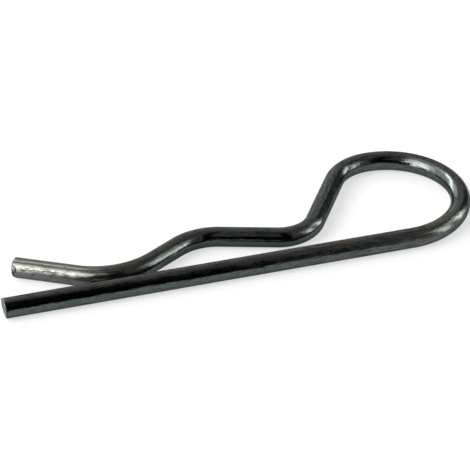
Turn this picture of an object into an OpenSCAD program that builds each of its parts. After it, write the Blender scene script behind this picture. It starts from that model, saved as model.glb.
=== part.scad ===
// Hitch R clip, formed from one length of round spring wire.
// The wire's middle line stays in one plane, and the clip lies flat on its side.
// Z is up. X runs along the straight leg from its cut end to the loop, and Y from
// the straight leg to the bent leg. The origin is under the middle of the clip's outline.

/* [Wire] */
// Diameter of the wire
wire_d = 4; // [3:0.1:4.6]
// Size of the bevel on both cut ends
end_bevel = 0.4; // [0.1:0.05:0.8]

/* [Straight leg] */
// Length from the cut end to the start of the loop
leg_l = 81; // [72:0.5:95]

/* [Loop] */
// Diameter of the round space inside the loop
loop_d = 25; // [22:0.1:29]
// Radius of the shoulder bend, at the middle of the wire
shoulder_r = 10; // [7:0.5:13]
// Slope of the run from the shoulder down to the neck
drop_angle = 58.55; // [52:0.05:68]

/* [Bent leg] */
// Space between the legs at the neck
neck_gap = 3.4; // [2:0.1:4.6]
// Radius of the neck bend, at the middle of the wire
neck_r = 7.5; // [5:0.5:10]
// Slope of the run from the neck up to the hump
rise_angle = 17.95; // [14:0.05:24]
// Space between the legs at the hump, where the shaft sits
hump_gap = 7.8; // [7:0.1:10]
// Radius of the hump bend, at the middle of the wire
hump_r = 10.5; // [7:0.5:13]
// Slope of the run from the hump down to the throat
fall_angle = 31.55; // [26:0.05:34]
// Space between the legs at the throat, which grips the shaft
throat_gap = 0.6; // [0.5:0.1:1.6]
// Radius of the throat bend, at the middle of the wire
throat_r = 15; // [12:0.5:20]

/* [Flared tip] */
// Slope of the tip away from the straight leg
flare_angle = 29; // [25:0.05:40]
// Length of the tip's straight run
flare_l = 12.8; // [7:0.1:15]

/* [Hidden] */

wire_r = wire_d / 2;
loop_r = loop_d / 2 + wire_r;
overall_l = leg_l + loop_r + wire_r;

// The loop is a half turn, which brings the wire back over the straight leg
loop_angle = 180;

// Heights of the wire's middle over the straight leg's
loop_h = 2 * loop_r;
neck_h = wire_d + neck_gap;
hump_h = wire_d + hump_gap;
throat_h = wire_d + throat_gap;

// Straight run between two opposite bends of radii r1 and r2, where it slopes by the given
// angle and has to carry the wire over the given height
function run_between(height, r1, r2, angle) =
    (height - (r1 + r2) * (1 - cos(angle))) / sin(angle);

// The order in which the wire is formed: each row is a straight run, then the radius of the
// bend after it and its angle, which is positive to the left
steps = [
    [leg_l, loop_r, loop_angle],
    [0, shoulder_r, drop_angle],
    [run_between(loop_h - neck_h, shoulder_r, neck_r, drop_angle), neck_r, -drop_angle - rise_angle],
    [run_between(hump_h - neck_h, neck_r, hump_r, rise_angle), hump_r, rise_angle + fall_angle],
    [run_between(hump_h - throat_h, hump_r, throat_r, fall_angle), throat_r, -fall_angle - flare_angle],
    [flare_l, 0, 0]
];
last_step = len(steps) - 1;

// Each bend is drawn as two arcs, one with the run before it and one with the run after it.
// The arcs share this much of the bend, so that the runs join inside one true curve.
lap_share = 0.2;

// Round wire along X from start, of length l
module straight(l, start = 0) {
    translate([start, 0, 0])
        rotate([0, 90, 0])
            cylinder(h = l, r = wire_r);
}

// Bevelled end of the wire at x, whose small face looks along X where side is 1 and back where it is -1
module cut_end(x, side) {
    translate([x, 0, 0])
        rotate([0, 90 * side, 0])
            cylinder(h = end_bevel, r1 = wire_r, r2 = wire_r - end_bevel);
}

// Arc of wire whose circle touches the X axis at x, on the left where turn is positive.
// It covers the angles from a0 to a1, counted from the touching point along the bend.
module bend(x, r, turn, a0, a1) {
    side = sign(turn);
    translate([x, side * r, 0])
        rotate_extrude(start = side > 0 ? a0 - 90 : 90 - a1, angle = a1 - a0)
            translate([r, 0, 0])
                circle(r = wire_r);
}

// Straight run number i, bevelled where the wire starts or stops
module run(i) {
    first_bevel = i == 0 ? end_bevel : 0;
    last_bevel = i == last_step ? end_bevel : 0;
    if (steps[i][0] > 0)
        straight(steps[i][0] - first_bevel - last_bevel, first_bevel);
    if (i == 0)
        cut_end(end_bevel, -1);
    if (i == last_step)
        cut_end(steps[i][0] - end_bevel, 1);
}

// The wire from step i to its end, starting at the origin along X
module formed_wire(i = 0) {
    l = steps[i][0];
    r = steps[i][1];
    turn = steps[i][2];
    angle = abs(turn);
    lap = angle * (1 + lap_share) / 2;

    run(i);
    if (i < last_step) {
        bend(l, r, turn, 0, lap);
        translate([l, sign(turn) * r, 0])
            rotate([0, 0, turn])
                translate([0, -sign(turn) * r, 0]) {
                    bend(0, r, turn, -lap, 0);
                    formed_wire(i + 1);
                }
    }
}

module clip() {
    color([0.46, 0.47, 0.48])
        translate([-overall_l / 2, -loop_r, wire_r])
            formed_wire($fn = 64);
}

clip();
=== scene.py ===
import math

import bpy
import numpy as np
from mathutils import Matrix, Vector


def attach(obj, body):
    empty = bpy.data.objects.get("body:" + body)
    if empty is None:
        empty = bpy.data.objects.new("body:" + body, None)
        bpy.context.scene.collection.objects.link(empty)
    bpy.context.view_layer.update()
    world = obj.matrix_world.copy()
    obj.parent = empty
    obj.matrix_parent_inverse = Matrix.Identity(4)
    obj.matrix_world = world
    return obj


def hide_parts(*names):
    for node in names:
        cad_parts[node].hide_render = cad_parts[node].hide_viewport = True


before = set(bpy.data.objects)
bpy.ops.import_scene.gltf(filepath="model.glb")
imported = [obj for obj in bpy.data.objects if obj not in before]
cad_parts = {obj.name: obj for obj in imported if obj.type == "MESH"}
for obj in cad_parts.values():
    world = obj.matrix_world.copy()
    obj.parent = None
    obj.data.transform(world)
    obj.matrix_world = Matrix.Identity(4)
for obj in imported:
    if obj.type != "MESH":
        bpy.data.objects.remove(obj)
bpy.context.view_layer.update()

# The blank
# The clip starts as a straight length of round drawn spring steel wire. It is sheared off
# at both ends, which leaves a rounded edge where the blade went in and a thin burr where it
# came out. The blank lies along X, in millimetres, from the straight leg's end to the tip's.

# The solid's own sizes: radii of the wire and of the bends of its middle line, heights of the
# middle line over the straight leg's, slopes in degrees, and lengths of the two end runs
WIRE_R = 2.0
LOOP_R = 14.5
LEG = 81.0
SHOULDER_R, NECK_R, HUMP_R, THROAT_R = 10.0, 7.5, 10.5, 15.0
NECK_H, HUMP_H, THROAT_H = 7.4, 11.8, 4.6
DROP, RISE, FALL, FLARE = 58.55, 17.95, 31.55, 29.0
FLARE_L = 12.8


def run_between(height, r1, r2, slope):
    """Length of the straight run that carries the wire over a height between two opposite bends."""
    a = math.radians(slope)
    return (height - (r1 + r2) * (1 - math.cos(a))) / math.sin(a)


# Each row is a straight run and its length, then the bend after it, its radius and its angle
# to the left in degrees
STEPS = [
    ("Straight leg", LEG, "Loop", LOOP_R, 180.0),
    ("Loop to shoulder", 0.0, "Shoulder", SHOULDER_R, DROP),
    ("Drop", run_between(2 * LOOP_R - NECK_H, SHOULDER_R, NECK_R, DROP), "Neck", NECK_R, -DROP - RISE),
    ("Rise", run_between(HUMP_H - NECK_H, NECK_R, HUMP_R, RISE), "Hump", HUMP_R, RISE + FALL),
    ("Fall", run_between(HUMP_H - THROAT_H, HUMP_R, THROAT_R, FALL), "Throat", THROAT_R, -FALL - FLARE),
    ("Flared tip", FLARE_L, None, 0.0, 0.0),
]
WIRE_L = sum(run_l + bend_r * math.radians(abs(turn)) for _, run_l, _, bend_r, turn in STEPS)

# Points in a ring round the wire, and the rings of a cut end: on its face, as shares of the
# face's radius, and on its rounded edge, as turns from the face to the side
AROUND = 88
FACE_SHARES = (0.06, 0.2, 0.34, 0.48, 0.62, 0.74, 0.85, 0.94)
EDGE_TURNS = np.radians([0, 14, 28, 42, 56, 70, 90])

angle = np.arange(AROUND) * 2 * np.pi / AROUND
rng = np.random.default_rng(7)


def wobble(waves, size):
    """Smooth uneven curve round the wire, made of a few waves."""
    curve = np.zeros(AROUND)
    for w in range(1, waves + 1):
        curve += rng.normal() * np.cos(w * angle + rng.uniform(0, 2 * np.pi)) / w**0.7
    return size * curve / max(1e-9, np.abs(curve).max())


def sheared_end(blade_side, tilt, edge_r):
    """Rings of one cut end, from its middle outwards: depth behind the end plane and radius.

    The face is set back by the tilt on the side where the blade went in, and the edge is
    rounder there. The other half of the face is torn, and its edge stands out as a burr.
    """
    setback, rollover, tear_depth, torn_below, burr = 0.03, 0.14, 0.04, 0.4, 0.07
    toward_blade = np.cos(angle - math.radians(blade_side))
    entry = 0.5 + 0.5 * toward_blade
    edge = edge_r + rollover * entry + wobble(6, 0.2 * edge_r)
    tear = tear_depth * wobble(9, 0.5)
    rings = []
    for share in FACE_SHARES:
        radius = share * (WIRE_R - edge)
        height = radius * toward_blade
        flat = setback + tilt * (0.5 + 0.5 * height / WIRE_R)
        rings.append((flat + share * tear * (height < torn_below), radius))
    lip = setback + tilt * (0.5 + 0.5 * (WIRE_R - edge) * toward_blade / WIRE_R)
    lip = lip - burr * np.clip(1 - 1.8 * entry, 0, 1) * (1 + wobble(12, 0.5))
    for turn in EDGE_TURNS:
        rings.append((lip + edge * (1 - np.cos(turn)), WIRE_R - edge * (1 - np.sin(turn))))
    return rings


# The wire's side starts behind the cuts, with its rings close together there for the dents
LEG_CUT, TIP_CUT = 0.75, 0.62
SIDE_RINGS = 658
side_l = WIRE_L - LEG_CUT - TIP_CUT
close_rings = np.cumsum([0.0] + [0.09] * 12 + [0.14] * 8 + [0.22] * 4)
side_rings = np.linspace(close_rings[-1], side_l - close_rings[-1], SIDE_RINGS + 2)[1:-1]
side_rings = np.concatenate([close_rings, side_rings, (side_l - close_rings)[::-1]])
ring_x, ring_r = [], []
for depth, radius in sheared_end(blade_side=190, tilt=0.42, edge_r=0.1):
    ring_x.append(np.clip(depth, 0, None) * np.ones(AROUND))
    ring_r.append(radius * np.ones(AROUND))
for x in LEG_CUT + side_rings:
    ring_x.append(np.full(AROUND, x))
    ring_r.append(np.full(AROUND, WIRE_R))
for depth, radius in reversed(sheared_end(blade_side=250, tilt=0.14, edge_r=0.24)):
    ring_x.append(WIRE_L - np.clip(depth, 0, None) * np.ones(AROUND))
    ring_r.append(radius * np.ones(AROUND))
ring_x, ring_r = np.array(ring_x), np.array(ring_r)

# How much of each point is bare cut steel, and how much painted shade it gets: the floor of a
# groove, and the rim of a cut, where the painted shade is darkest on its -Y side
bare_end = np.concatenate([np.ones(len(FACE_SHARES)), 1 - np.sin(EDGE_TURNS)])
bare = np.zeros(ring_r.shape)
bare[: len(bare_end)] = bare_end[:, None]
bare[-len(bare_end) :] = bare_end[::-1, None]
crease_shade = np.zeros(ring_r.shape)
rims = slice(len(FACE_SHARES), len(bare_end)), slice(-len(bare_end), -len(FACE_SHARES))
# Painted shade on each cut's rim, darkest on its -Y side
for rim, rim_shade_side in zip(rims, (190, -10)):
    crease_shade[rim] = 0.4 + 0.4 * np.cos(angle - math.radians(rim_shade_side))


def dent(x, side_angle, length, width, depth, ring_width=None):
    """Presses an oval dent into the blank's side, or with a ring width an oval groove with painted shade
    along it.
    """
    past_face = ring_r > INNER_FACE_R
    u = (ring_x - x) / length
    v = ((angle - math.radians(side_angle) + np.pi) % (2 * np.pi) - np.pi) * WIRE_R / width
    d = np.sqrt(u * u + v * v)
    if ring_width:
        pressed = np.exp(-(((d - 1) / ring_width) ** 2)) * past_face
        np.maximum(crease_shade, pressed, out=crease_shade)
    else:
        pressed = np.exp(-(d**2)) * past_face
    ring_r[...] -= depth * pressed


# The shear left a folded sliver on the tip's edge and a nick on the leg's. The inner part of
# the cut faces isn't pressed.
INNER_FACE_R = 1.3
# The sliver's outline is a groove with painted shade along it
dent(WIRE_L - 0.5, 20, 0.55, 0.72, 0.13, ring_width=0.24)
dent(WIRE_L - 0.6, 24, 0.4, 0.5, 0.1)
dent(0.62, 155, 0.26, 0.32, 0.12)

points = np.stack([ring_x, ring_r * np.cos(angle), ring_r * np.sin(angle)], -1).reshape(-1, 3).tolist()
first, last = len(points), len(points) + 1
points.append([float(ring_x[0].mean()), 0.0, 0.0])
points.append([float(ring_x[-1].mean()), 0.0, 0.0])
last_ring = (len(ring_x) - 1) * AROUND
faces = []
for ring in range(0, last_ring, AROUND):
    for j in range(AROUND):
        k = (j + 1) % AROUND
        faces.append((ring + j, ring + k, ring + AROUND + k, ring + AROUND + j))
for j in range(AROUND):
    k = (j + 1) % AROUND
    faces.append((first, k, j))
    faces.append((last, last_ring + j, last_ring + k))
blank = bpy.data.meshes.new("sheared_blank")
blank.from_pydata(points, [], faces)
blank.update()
for name, share, middle_share in (("bare", bare, 1.0), ("crease_shade", crease_shade, 0.0)):
    layer = blank.attributes.new(name, "FLOAT", "POINT")
    layer.data.foreach_set("value", np.append(share.ravel(), [middle_share] * 2).astype(np.float32))
clip = bpy.data.objects.new("formed_wire", blank)
bpy.context.scene.collection.objects.link(clip)


# The forming
# A bending tool forms the blank from the straight leg on: each straight run is followed by
# a bend of its own radius and angle. The tree works out where the wire's middle line is and
# which way it heads at each distance along the blank, and moves the blank's points there.
class Quantity:
    """A socket of a node tree. Python maths on it adds the nodes that work it out."""

    def __init__(self, bench, socket):
        self.bench, self.socket = bench, socket

    def math(self, operation, *values):
        return self.bench.add("ShaderNodeMath", {"operation": operation}, dict(enumerate(values)))

    def __add__(self, other):
        return self.math("ADD", self, other)

    def __radd__(self, other):
        return self.math("ADD", other, self)

    def __sub__(self, other):
        return self.math("SUBTRACT", self, other)

    def __rsub__(self, other):
        return self.math("SUBTRACT", other, self)

    def __mul__(self, other):
        return self.math("MULTIPLY", self, other)

    def __rmul__(self, other):
        return self.math("MULTIPLY", other, self)

    def __truediv__(self, other):
        return self.math("DIVIDE", self, other)

    def __abs__(self):
        return self.math("ABSOLUTE", self)

    def sine(self):
        return self.math("SINE", self)

    def cosine(self):
        return self.math("COSINE", self)

    def least(self, other):
        return self.math("MINIMUM", self, other)

    def most(self, other):
        return self.math("MAXIMUM", self, other)

    def between(self, low, high):
        """Smooth step from 0 at low to 1 at high."""
        return self.bench.add(
            "ShaderNodeMapRange",
            {"interpolation_type": "SMOOTHSTEP"},
            {"Value": self, "From Min": low, "From Max": high},
        )


class Bench:
    """Adds nodes to one tree."""

    def __init__(self, tree):
        self.tree = tree

    def add(self, kind, settings=None, sockets=None, output=0):
        node = self.tree.nodes.new(kind)
        for name, value in (settings or {}).items():
            setattr(node, name, value)
        for name, value in (sockets or {}).items():
            if isinstance(value, Quantity):
                self.tree.links.new(value.socket, node.inputs[name])
            else:
                node.inputs[name].default_value = value
        return Quantity(self, node.outputs[output]) if node.outputs else None

    def parts_of(self, vector):
        """The vector's X, Y and Z."""
        node = self.add("ShaderNodeSeparateXYZ", None, {0: vector}).socket.node
        return [Quantity(self, socket) for socket in node.outputs]


def cleared(owner):
    """Bench on the emptied node tree of a material or a world."""
    owner.use_nodes = True
    owner.node_tree.nodes.clear()
    return Bench(owner.node_tree)


forming = bpy.data.node_groups.new("forming", "GeometryNodeTree")
forming.interface.new_socket("Blank", in_out="INPUT", socket_type="NodeSocketGeometry")
sizes = {"Wire radius": WIRE_R}
for run_name, run_l, bend_name, bend_r, turn in STEPS:
    if run_l:
        sizes[run_name + " length"] = run_l
    if bend_name:
        sizes[bend_name + " radius"] = bend_r
        sizes[bend_name + " angle"] = math.radians(turn)
ports = {}
for size_name, size in sizes.items():
    port = forming.interface.new_socket(size_name, in_out="INPUT", socket_type="NodeSocketFloat")
    port.default_value = size
    ports[size_name] = port.identifier
forming.interface.new_socket("Formed wire", in_out="OUTPUT", socket_type="NodeSocketGeometry")

bench = Bench(forming)
group_in = forming.nodes.new("NodeGroupInput")
group_out = forming.nodes.new("NodeGroupOutput")
given = {socket.name: Quantity(bench, socket) for socket in group_in.outputs if socket.name}
place = bench.add("GeometryNodeInputPosition")
kept = bench.add(
    "GeometryNodeStoreNamedAttribute",
    {"data_type": "FLOAT_VECTOR", "domain": "POINT"},
    {"Geometry": given["Blank"], "Name": "drawn", "Value": place},
)
along, side, up = bench.parts_of(place)

# The heading at the step's start, the middle line's heading and place at the point, and the
# distance at which the step starts, which are all 0 before the first step
heading = bench.add("ShaderNodeValue")
heading.socket.default_value = 0.0
line_heading, line_x, line_y, start = heading, heading, heading, heading
for number, (run_name, run_l, bend_name, bend_r, turn) in enumerate(STEPS):
    if run_l:
        length = given[run_name + " length"]
        done = along - start
        if number > 0:
            done = done.most(0.0)
        if number < len(STEPS) - 1:
            done = done.least(length)
        line_x = line_x + done * heading.cosine()
        line_y = line_y + done * heading.sine()
        start = start + length
    if bend_name:
        side_of_bend = math.copysign(1.0, turn)
        radius, bend_angle = given[bend_name + " radius"], given[bend_name + " angle"]
        length = radius * abs(bend_angle)
        turned = (along - start).most(0.0).least(length) / radius * side_of_bend
        after = heading + turned
        line_x = line_x + radius * side_of_bend * (after.sine() - heading.sine())
        line_y = line_y - radius * side_of_bend * (after.cosine() - heading.cosine())
        line_heading = line_heading + turned
        heading = heading + bend_angle
        start = start + length

# The outline's middle is the origin, and the wire rests on the floor, in metres
wire_r = given["Wire radius"]
x = line_x - side * line_heading.sine()
y = line_y + side * line_heading.cosine()
x = x - (given["Straight leg length"] + given["Loop radius"] + wire_r) / 2.0
formed_place = bench.add("ShaderNodeCombineXYZ", None, {0: x, 1: y - given["Loop radius"], 2: up + wire_r})
formed_place = bench.add("ShaderNodeVectorMath", {"operation": "SCALE"}, {0: formed_place, "Scale": 0.001})
formed = bench.add("GeometryNodeSetPosition", None, {"Geometry": kept, "Position": formed_place})
formed = bench.add("GeometryNodeSetShadeSmooth", None, {"Geometry": formed})
formed = bench.add("GeometryNodeRealizeInstances", None, {"Geometry": formed})

# The plating
# Bright zinc over drawn steel: dark and glossy, with draw lines, blotches and small flecks.
# Its marks are placed on the straight blank, by the distance along it and the distance round
# it from its left side, over the top, in millimetres.
plating = bpy.data.materials.new("zinc_plated_wire")
coat = cleared(plating)
drawn = coat.add("ShaderNodeAttribute", {"attribute_name": "drawn"}, None, "Vector")
run, across, height = coat.parts_of(drawn)
arc = height.math("ARCTAN2", height, across) * WIRE_R
bare_steel = coat.add("ShaderNodeAttribute", {"attribute_name": "bare"}, None, "Fac")
# Painted shade in the grooves and on the rims of the cuts
painted_crease_shade = coat.add("ShaderNodeAttribute", {"attribute_name": "crease_shade"}, None, "Fac")


def grain(stretch, detail, rough=0.5, seed=0.0):
    """Noise on the straight blank, from 0 to 1. Stretch is its grains per millimetre, along and across."""
    along_scale, across_scale = stretch
    spread = coat.add(
        "ShaderNodeMapping",
        {"vector_type": "POINT"},
        {
            "Vector": drawn,
            "Scale": (along_scale, across_scale, across_scale),
            "Location": (seed, seed * 1.7, -seed),
        },
    )
    return coat.add(
        "ShaderNodeTexNoise",
        {"noise_dimensions": "3D"},
        {"Vector": spread, "Scale": 1.0, "Detail": detail, "Roughness": rough},
    )


def stretch_of(start, end, fade=4.0):
    """1 between two lengths along the blank, fading to 0 outside them."""
    return run.between(start - fade, start) * (1.0 - run.between(end, end + fade))


def line(middle, width):
    """1 on a line along the blank, at a distance round it, and 0 beside it."""
    return 1.0 - abs(arc - middle).between(0.35 * width, width)


def painted(amount, under, over):
    """Colour of what lies under, covered by the amount with another."""
    return coat.add("ShaderNodeMix", {"data_type": "RGBA"}, {0: amount, 6: under, 7: over}, 2)


draw_lines = grain((0.05, 2.6), 3.0, 0.6)
fine_lines = grain((0.12, 7.0), 2.0, 0.5, seed=9.0)
blotches = grain((0.35, 0.9), 3.0, 0.55, seed=21.0)
waves = grain((0.16, 0.45), 2.0, 0.5, seed=33.0)
brown_streaks = grain((0.16, 2.2), 3.0, 0.65, seed=51.0).between(0.5, 0.62)
pale_streaks = grain((0.3, 3.4), 3.0, 0.6, seed=72.0).between(0.52, 0.66)
dark_streaks = grain((0.22, 2.6), 3.0, 0.6, seed=90.0).between(0.5, 0.66)
mottle = grain((1.5, 3.0), 3.0, 0.65, seed=61.0)
specks = grain((1.0, 2.3), 4.0, 0.62, seed=5.0).between(0.54, 0.66)
wander = grain((0.9, 0.9), 3.0, 0.6, seed=13.0) - 0.5
gaps = grain((1.6, 1.6), 2.0, 0.5, seed=17.0).between(0.36, 0.5)

# The bending tools scored the wire at the loop's start and on the drop. The loop's start is paler.
# From the neck to the hump the wire's lower half is painted darker as painted shade, with a thin pale
# scratch whose pale colour is partly painted highlight.
scored = stretch_of(60, 80, 6.0).most(stretch_of(138, 152))
scored_drop = stretch_of(139, 151)
paler_loop_start = stretch_of(86, 93, 6.0)
shaded_side = stretch_of(160, 186, 6.0) * (1.0 - (arc + (mottle - 0.5) * 0.8).between(-0.2, 0.7))
scratch_and_highlight = line(0.6 + wander * 0.25, 0.1) * stretch_of(163, 179, 2.0) * pale_streaks

# The throat and the tip were rubbed, most of all in a ragged band that narrows towards the throat,
# where it is worn thin; the band's pale colour is partly wear and partly painted highlight. A die
# left a groove beside the band, painted dark as painted shade, and a pale line painted as a ridge's
# highlight. A broken crack runs along the tip, painted dark as painted shade.
RUB_START, RUB_FULL = 193.0, 206.0
BAND_TAPER_END, BAND_TAPER = 209.0, 0.09
CRACK_END, CRACK_ARC, CRACK_SLOPE = 216.0, 0.9076, 0.0611
rubbed = run.between(RUB_START, RUB_FULL)
taper = (BAND_TAPER_END - run).most(0.0) * BAND_TAPER
ragged = arc + (blotches - 0.5) * 1.6 + (mottle - 0.5) * 0.9 - taper
rubbed_band_and_highlight = rubbed * ragged.between(0.35, 1.05) * (1.0 - arc.between(1.68, 1.9))
worn_thin_and_highlight = rubbed_band_and_highlight * (1.0 - run.between(202.0, 208.0))
die_start = run.between(199.0, 205.0)
die_groove_and_shade = line(2.36, 0.2) * die_start
die_ridge_highlight = line(2.8, 0.2) * die_start
crack_arc = CRACK_ARC + (CRACK_END - run) * CRACK_SLOPE + wander * 0.5
crack_and_shade = line(crack_arc, 0.12) * stretch_of(208.4, 215.8, 0.4) * gaps

# The colours, each laid over those before it
tint = painted(blotches.between(0.35, 0.7), (0.074, 0.088, 0.092, 1.0), (0.1, 0.115, 0.114, 1.0))
for amount, colour in (
    # A paler stretch at the loop's start
    (paler_loop_start * 0.6, (0.135, 0.15, 0.142)),
    (scored_drop * 0.5, (0.082, 0.1, 0.118)),
    (brown_streaks * (0.4 + scored * 0.45), (0.115, 0.105, 0.096)),
    (pale_streaks * (0.25 + scored * 0.6), (0.17, 0.19, 0.2)),
    (dark_streaks * (0.35 + scored * 0.45), (0.034, 0.042, 0.05)),
    (mottle.between(0.36, 0.68) * 0.5, (0.045, 0.055, 0.058)),
    # Painted shade on the lower half from the neck to the hump
    (shaded_side * 0.75, (0.03, 0.045, 0.037)),
    # A thin scratch, painted pale partly as a painted highlight
    (scratch_and_highlight * 0.9, (0.3, 0.31, 0.3)),
    (rubbed * 0.75, (0.14, 0.142, 0.136)),
    # Painted highlight, partly wear, on the rubbed band
    (rubbed_band_and_highlight * mottle.between(0.7, 0.4) * 0.9, (0.3, 0.298, 0.275)),
    # The brightest painted highlight, where the band is worn thin
    (worn_thin_and_highlight * 0.7, (0.42, 0.43, 0.37)),
    # A pale line painted as the highlight of a ridge
    (die_ridge_highlight * 0.8, (0.3, 0.31, 0.305)),
    (bare_steel, (0.22, 0.23, 0.21)),
):
    tint = painted(amount, tint, (*colour, 1.0))
# Dark flecks, and painted shade in the die groove, the crack and the cuts' grooves and rims
shade = (specks * (0.68 - bare_steel * 0.5)).most(die_groove_and_shade * 0.7).most(crack_and_shade * 0.9).most(painted_crease_shade * 0.85)
tint = painted(shade, tint, (0.02, 0.022, 0.02, 1.0))
relief = (
    draw_lines * 0.034
    + fine_lines * 0.009
    + mottle * (0.009 + rubbed * 0.016 + bare_steel * 0.02)
    + blotches * (0.08 + rubbed * 0.06)
    + waves * 0.12
    - (crack_and_shade + die_groove_and_shade) * 0.03
)
bump = coat.add("ShaderNodeBump", None, {"Strength": 1.0, "Distance": 0.001, "Height": relief})
roughness = 0.07 + draw_lines * 0.07 + blotches * 0.08 + rubbed * 0.16 + rubbed_band_and_highlight * 0.06 + worn_thin_and_highlight * 0.2
surface = coat.add(
    "ShaderNodeBsdfPrincipled",
    None,
    {
        "Base Color": tint,
        "Metallic": 1.0,
        "Roughness": roughness.most(bare_steel * 0.42).most(painted_crease_shade * 0.4),
        "Specular Tint": (0.45, 0.47, 0.46, 1.0),
        "Normal": bump,
    },
)
coat.add("ShaderNodeOutputMaterial", None, {"Surface": surface})

formed = bench.add("GeometryNodeSetMaterial", None, {"Geometry": formed, "Material": plating})
forming.links.new(formed.socket, group_out.inputs[0])
tool = clip.modifiers.new("forming", "NODES")
tool.node_group = forming
for size_name, size in sizes.items():
    tool[ports[size_name]] = size
graph = bpy.context.evaluated_depsgraph_get()
shape = bpy.data.meshes.new_from_object(
    clip.evaluated_get(graph), preserve_all_data_layers=True, depsgraph=graph
)
clip.modifiers.remove(tool)
clip.data = shape
shape.name = "formed_wire"
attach(clip, "root")
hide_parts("clip")

# The floor
# A plain white table top under the clip, which shows its soft shadow. The camera and the
# wire's reflections see it glow white, and it lights the clip as plain pale paper would.
TABLE_REACH = 8.0


def panel(name, w, h, material, place=Matrix()):
    """Flat rectangle that reaches w and h from its middle, facing along Z before it is placed."""
    flat = (-w, -h, 0), (w, -h, 0), (w, h, 0), (-w, h, 0)
    mesh = bpy.data.meshes.new(name)
    mesh.from_pydata([tuple(place @ Vector(corner)) for corner in flat], [], [(0, 1, 2, 3)])
    mesh.materials.append(material)
    rectangle = bpy.data.objects.new(name, mesh)
    bpy.context.scene.collection.objects.link(rectangle)
    return rectangle


paper = bpy.data.materials.new("white_paper")
sheet = cleared(paper)
camera_ray = sheet.add("ShaderNodeLightPath", None, None, "Is Camera Ray")
ray = camera_ray.socket.node.outputs
seen = camera_ray.most(Quantity(sheet, ray["Is Glossy Ray"]))
seen = seen.most(Quantity(sheet, ray["Is Transmission Ray"]))
plain = sheet.add("ShaderNodeBsdfDiffuse", None, {"Color": (0.8, 0.8, 0.8, 1.0)})
shaded = sheet.add("ShaderNodeBsdfDiffuse", None, {"Color": (0.27, 0.27, 0.27, 1.0)})
glow = sheet.add("ShaderNodeEmission", None, {"Color": (0.97, 0.985, 1.0, 1.0), "Strength": 0.62})
white = sheet.add("ShaderNodeAddShader", None, {0: shaded, 1: glow})
top = sheet.add("ShaderNodeMixShader", None, {0: seen, 1: plain, 2: white})
sheet.add("ShaderNodeOutputMaterial", None, {"Surface": top})
panel("table_top", TABLE_REACH, TABLE_REACH, paper)

# The studio
# Soft boxes stand to the left, to the right and behind the table, with dark flags in front of
# it and one behind it, in a warm grey room that is brighter behind the table.
# The camera is where the photograph was taken from.
CAMERA_SIDE, CAMERA_ELEVATION, CAMERA_ROLL = -13.501, 34.659, -1.817
CAMERA_DISTANCE = 0.353342
AIM = Vector((-0.000855, -0.003523, 0.002))


def towards(azimuth, elevation):
    """Direction from the clip, where azimuth 0 is the camera's side and 90 is to its right."""
    a, e = math.radians(azimuth + CAMERA_SIDE), math.radians(elevation)
    return Vector((math.sin(a) * math.cos(e), -math.cos(a) * math.cos(e), math.sin(e)))


def facing(direction, distance):
    """Place at a distance from the clip, turned so that its own -Z points at the clip."""
    turn = direction.to_track_quat("Z", "Y").to_matrix().to_4x4()
    return Matrix.Translation(direction * distance) @ turn


def soft_box(name, azimuth, elevation, width, height, radiance, colour=(1, 1, 1), distance=1.2):
    """Rectangular lamp that the clip sees at these angles, in degrees."""
    lamp = bpy.data.lights.new(name, "AREA")
    lamp.shape = "RECTANGLE"
    lamp.size = 2 * distance * math.tan(math.radians(width / 2))
    lamp.size_y = 2 * distance * math.tan(math.radians(height / 2))
    lamp.energy = radiance * math.pi * lamp.size * lamp.size_y
    lamp.color = colour
    box = bpy.data.objects.new(name, lamp)
    box.matrix_world = facing(towards(azimuth, elevation), distance)
    bpy.context.scene.collection.objects.link(box)


soft_box("left_soft_box", -57, 24, 38, 52, 8.2, (1.0, 0.99, 0.95))
soft_box("left_soft_box_top", -66, 60, 20, 22, 4.5, (1.0, 0.98, 0.9))
soft_box("left_soft_box_edge", -83, 27, 18, 50, 3.2, (1.0, 1.0, 0.95))
soft_box("back_left_soft_box", -141, 22, 9, 46, 9.5, (0.98, 1.0, 0.99))
soft_box("back_left_glow", -145, 24, 30, 50, 2.2)
soft_box("back_fill", -170, 10, 30, 28, 0.7, (1.0, 0.97, 0.93))
soft_box("right_soft_box", 76, 20, 28, 58, 1.5, (0.98, 1.0, 0.86))
soft_box("right_soft_box_middle", 77, 15, 12, 36, 3.6, (1.0, 1.0, 0.88))
soft_box("back_right_soft_box", 108, 19, 24, 50, 2.0, (0.97, 1.0, 0.9))
soft_box("back_right_soft_box_middle", 108, 15, 11, 34, 5.6, (1.0, 1.0, 0.94))
soft_box("left_fill", -116, 28, 50, 54, 1.8, (0.97, 1.0, 0.97))
soft_box("top_left_fill", -112, 64, 44, 26, 1.2, (1.0, 0.99, 0.92))


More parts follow.
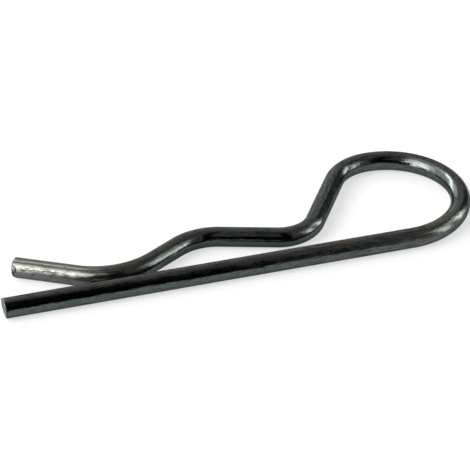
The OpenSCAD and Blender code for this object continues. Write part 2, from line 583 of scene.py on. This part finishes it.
def flag(name, azimuth, elevation, width, height, shade, distance=1.1):
    """Dark card that the clip sees at these angles, in degrees. The camera doesn't see it."""
    felt = bpy.data.materials.new(name)
    cloth = cleared(felt)
    dull = cloth.add("ShaderNodeEmission", None, {"Color": (shade, shade, shade, 1.0), "Strength": 1.0})
    cloth.add("ShaderNodeOutputMaterial", None, {"Surface": dull})
    w = distance * math.tan(math.radians(width / 2))
    h = distance * math.tan(math.radians(height / 2))
    card = panel(name, w, h, felt, facing(towards(azimuth, elevation), distance))
    card.visible_camera = False


flag("black_flag", 21, 42, 18, 92, 0.0)
flag("low_black_flag", -14, 23, 55, 33, 0.0, 1.05)
flag("grey_flag", -1, 42, 34, 84, 0.25, 1.15)
flag("back_flag", 137, 20, 20, 36, 0.16, 1.3)

world = bpy.data.worlds.new("studio")
bpy.context.scene.world = world
room = cleared(world)
direction = room.add("ShaderNodeTexCoord", None, None, "Generated")
behind = room.add(
    "ShaderNodeVectorMath", {"operation": "DOT_PRODUCT"}, {0: direction, 1: towards(180, 16)}, "Value"
)
walls = room.add(
    "ShaderNodeMix",
    {"data_type": "RGBA"},
    {0: behind.between(0.55, 0.98), 6: (0.35, 0.32, 0.28, 1.0), 7: (0.86, 0.76, 0.68, 1.0)},
    2,
)
light = room.add("ShaderNodeBackground", None, {"Color": walls, "Strength": 1.0})
room.add("ShaderNodeOutputWorld", None, {"Surface": light})

camera_data = bpy.data.cameras.new("camera")
camera_data.sensor_width = 36.0
camera_data.lens = 136.93
camera_data.clip_start = 0.01
camera_data.clip_end = 50.0
camera = bpy.data.objects.new("camera", camera_data)
bpy.context.scene.collection.objects.link(camera)
back = towards(0, CAMERA_ELEVATION)
level = Vector((0, 0, 1)).cross(back).normalized()
upright = back.cross(level)
roll = math.radians(CAMERA_ROLL)
right = math.cos(roll) * level + math.sin(roll) * upright
above = math.cos(roll) * upright - math.sin(roll) * level
spot = AIM + back * CAMERA_DISTANCE
camera.matrix_world = Matrix([[right[i], above[i], back[i], spot[i]] for i in range(3)] + [[0, 0, 0, 1]])
bpy.context.scene.camera = camera
bpy.context.scene.view_settings.view_transform = "Standard"
